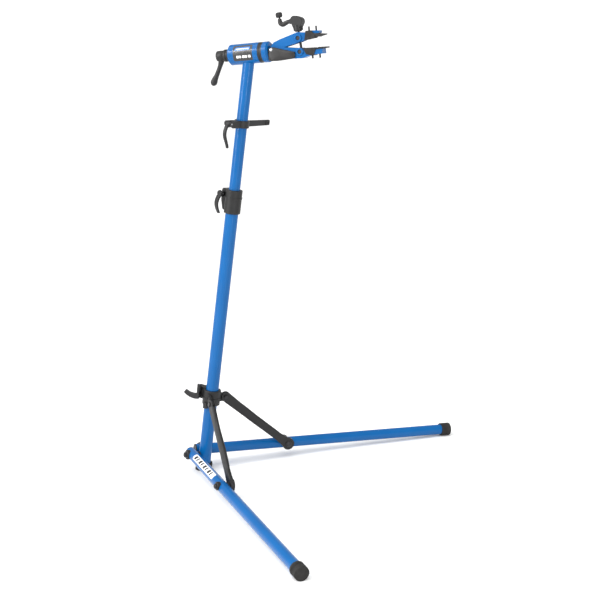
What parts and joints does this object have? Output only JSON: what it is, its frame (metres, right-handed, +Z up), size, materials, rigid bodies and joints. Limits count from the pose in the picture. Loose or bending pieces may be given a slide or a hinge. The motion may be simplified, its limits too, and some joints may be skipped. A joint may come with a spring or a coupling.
{
  "type": "bike repair stand",
  "caption": "Folding workshop stand that holds a bicycle frame tube in a rotating screw clamp on a telescopic leaning mast.",
  "frame": {"origin": "centre of the bounding box's bottom face, on the floor between the mast boot and the two feet", "axes": "+Z up, +X forward from the mast boot towards the open side of the two legs and the clamp jaws, +Y to the left"},
  "size_m": [0.7652, 1.4592, 1.5797],
  "materials": {
    "blue_enamel": "glossy blue powder coat with a fine orange peel",
    "black_rubber": "matte moulded rubber",
    "black_plastic": "satin glass-filled nylon, fine moulded texture",
    "cast_black": "satin black coated castings",
    "steel": "zinc-plated fasteners with fine turning marks",
    "bronze": "plain sintered bronze"
  },
  "bodies": {
    "base": {"lower_mast_tube": "blue_enamel", "mast_boot": "black_rubber", "pivot_block": "black_plastic", "pivot_spacers": "steel", "leg_pivot_bolts": "steel", "height_collar": "black_plastic", "height_collar_bolt": "steel", "height_collar_pin": "steel"},
    "height_collar_lever": {"height_collar_lever": "black_plastic"},
    "leg_left": {"leg_tube_left": "blue_enamel", "leg_bushes_left": "steel", "leg_rear_plug_left": "black_plastic", "leg_foot_cap_left": "black_rubber", "bolt_caps_left": "black_plastic", "strut_bolt_left": "steel"},
    "leg_right": {"leg_tube_right": "blue_enamel", "leg_bushes_right": "steel", "leg_rear_plug_right": "black_plastic", "leg_foot_cap_right": "black_rubber", "bolt_caps_right": "black_plastic", "strut_bolt_right": "steel"},
    "leg_collar": {"leg_collar": "black_plastic", "leg_collar_bolt": "steel", "leg_collar_pin": "steel", "strut_top_bolts": "steel"},
    "leg_collar_lever": {"leg_collar_lever": "black_plastic"},
    "strut_left": {"strut_left": "black_plastic", "strut_pin_left": "steel"},
    "strut_right": {"strut_right": "black_plastic", "strut_pin_right": "steel"},
    "glide_bush": {"glide_bush": "black_plastic"},
    "upper_mast": {"upper_mast_tube": "blue_enamel", "retaining_rings": "steel", "clamp_barrel": "blue_enamel", "bearing_bushes": "bronze", "friction_ring": "black_plastic", "thrust_collar": "black_plastic"},
    "accessory_liner": {"accessory_liner": "black_plastic"},
    "accessory_collar": {"accessory_collar": "black_plastic", "accessory_pin": "steel"},
    "accessory_lever": {"accessory_lever": "black_plastic"},
    "lock_handle": {"lock_handle": "black_plastic", "lock_nut": "steel"},
    "head": {"clutch_ring": "cast_black", "spindle": "steel", "rotating_head": "blue_enamel", "jaw_pin": "steel", "lower_jaw_arm": "blue_enamel", "lower_jaw_casting": "cast_black", "lower_jaw_pad": "black_rubber"},
    "upper_jaw": {"upper_jaw_arm": "blue_enamel", "upper_jaw_pad": "black_rubber"},
    "upper_trunnion": {"upper_trunnion": "steel"},
    "clamp_screw": {"clamp_rod": "steel"},
    "thrust_washer": {"thrust_washer": "steel"},
    "crank_nut": {"crank_nut": "black_plastic", "crank_pin": "steel"},
    "crank_arm": {"crank_arm": "black_plastic", "knob_post": "steel"},
    "crank_knob": {"crank_knob": "black_plastic"}
  },
  "joints": [
    {"name": "leg_fold_left", "type": "hinge", "parent": "base", "child": "leg_left", "pos_m": [-0.34551, -0.03354, 0.05958], "axis": [-0.6848, -0.7228, 0.0922], "range_deg": [0, 77]},
    {"name": "leg_fold_right", "type": "hinge", "parent": "base", "child": "leg_right", "pos_m": [-0.34551, 0.03354, 0.05958], "axis": [0.6848, -0.7228, -0.0922], "range_deg": [0, 77]},
    {"name": "leg_collar_slide", "type": "slide", "parent": "base", "child": "leg_collar", "axis": [0.1335, 0, 0.9911], "range_m": [0, 0.42398]},
    {"name": "strut_pivot_left", "type": "hinge", "parent": "leg_collar", "child": "strut_left", "pos_m": [-0.25786, -0.05312, 0.25987], "axis": [-0.6848, -0.7228, 0.0922], "range_deg": [-56.37, 0.02]},
    {"name": "strut_pivot_right", "type": "hinge", "parent": "leg_collar", "child": "strut_right", "pos_m": [-0.25786, 0.05312, 0.25987], "axis": [0.6848, -0.7228, -0.0922], "range_deg": [-56.37, 0.02]},
    {"name": "leg_collar_lever_turn", "type": "hinge", "parent": "leg_collar", "child": "leg_collar_lever", "pos_m": [-0.32391, -0.0215, 0.28693], "axis": [0.1335, 0, 0.9911], "range_deg": [0, 100]},
    {"name": "height_lever_turn", "type": "hinge", "parent": "base", "child": "height_collar_lever", "pos_m": [-0.23331, -0.00615, 0.98811], "axis": [-0.8982, 0.4226, 0.121], "range_deg": [0, 95]},
    {"name": "mast_height", "type": "slide", "parent": "base", "child": "glide_bush", "axis": [0.1335, 0, 0.9911], "range_m": [-0.13, 0.05]},
    {"name": "mast_swivel", "type": "hinge", "parent": "glide_bush", "child": "upper_mast", "pos_m": [-0.20907, 0, 0.83248], "axis": [0.1335, 0, 0.9911], "range_deg": [-170, 170]},
    {"name": "accessory_slide", "type": "slide", "parent": "upper_mast", "child": "accessory_liner", "axis": [0.1335, 0, 0.9911], "range_m": [0, 0.06]},
    {"name": "accessory_turn", "type": "hinge", "parent": "accessory_liner", "child": "accessory_collar", "pos_m": [-0.15675, 0, 1.22098], "axis": [0.1335, 0, 0.9911], "range_deg": [-170, 170]},
    {"name": "accessory_lever_turn", "type": "hinge", "parent": "accessory_collar", "child": "accessory_lever", "pos_m": [-0.17077, -0.06847, 1.22589], "axis": [-0.9694, 0.2079, 0.1306], "range_deg": [0, 100]},
    {"name": "clamp_turn", "type": "hinge", "parent": "upper_mast", "child": "head", "pos_m": [-0.06627, 0, 1.45425], "axis": [0.9962, 0, 0.0872], "continuous": true},
    {"name": "lock_handle_turn", "type": "hinge", "parent": "upper_mast", "child": "lock_handle", "pos_m": [-0.22964, 0, 1.43995], "axis": [0.9962, 0, 0.0872], "range_deg": [-60, 120]},
    {"name": "jaw_pivot", "type": "hinge", "parent": "head", "child": "upper_jaw", "pos_m": [-0.0384, 0, 1.4616], "axis": [0, -1, 0], "range_deg": [-3.1, 14.02]},
    {"name": "screw_tilt", "type": "hinge", "parent": "head", "child": "clamp_screw", "pos_m": [0.05846, 0, 1.45653], "axis": [0, -1, 0], "range_deg": [-1.56, 7.02]},
    {"name": "upper_trunnion_turn", "type": "hinge", "parent": "upper_jaw", "child": "upper_trunnion", "pos_m": [0.05115, 0, 1.49888], "axis": [0, -1, 0], "range_deg": [-7.02, 1.56]},
    {"name": "nut_travel", "type": "slide", "parent": "clamp_screw", "child": "thrust_washer", "axis": [-0.1702, 0, 0.9854], "range_m": [-0.00502, 0.02275]},
    {"name": "crank_spin", "type": "hinge", "parent": "thrust_washer", "child": "crank_nut", "pos_m": [0.04434, 0, 1.5383], "axis": [-0.1702, 0, 0.9854], "range_deg": [-300, 1364]},
    {"name": "crank_fold", "type": "hinge", "parent": "crank_nut", "child": "crank_arm", "pos_m": [0.02405, 0, 1.55002], "axis": [0, 1, 0], "range_deg": [0, 90]},
    {"name": "knob_spin", "type": "hinge", "parent": "crank_arm", "child": "crank_knob", "pos_m": [-0.02061, 0, 1.56767], "axis": [-0.1702, 0, 0.9854], "continuous": true}
  ],
  "couplings": [
    {"joint": "leg_fold_right", "follows": "leg_fold_left", "ratio": 1},
    {"joint": "leg_collar_slide", "follows": "leg_fold_left", "m_per_rad": 0.31511},
    {"joint": "strut_pivot_left", "follows": "leg_fold_left", "ratio": -0.73183},
    {"joint": "strut_pivot_right", "follows": "leg_fold_left", "ratio": -0.73183},
    {"joint": "jaw_pivot", "follows": "crank_spin", "ratio": 0.010263},
    {"joint": "screw_tilt", "follows": "crank_spin", "ratio": 0.0051316},
    {"joint": "upper_trunnion_turn", "follows": "crank_spin", "ratio": -0.0051316},
    {"joint": "nut_travel", "follows": "crank_spin", "m_per_rad": 0.00095493}
  ]
}
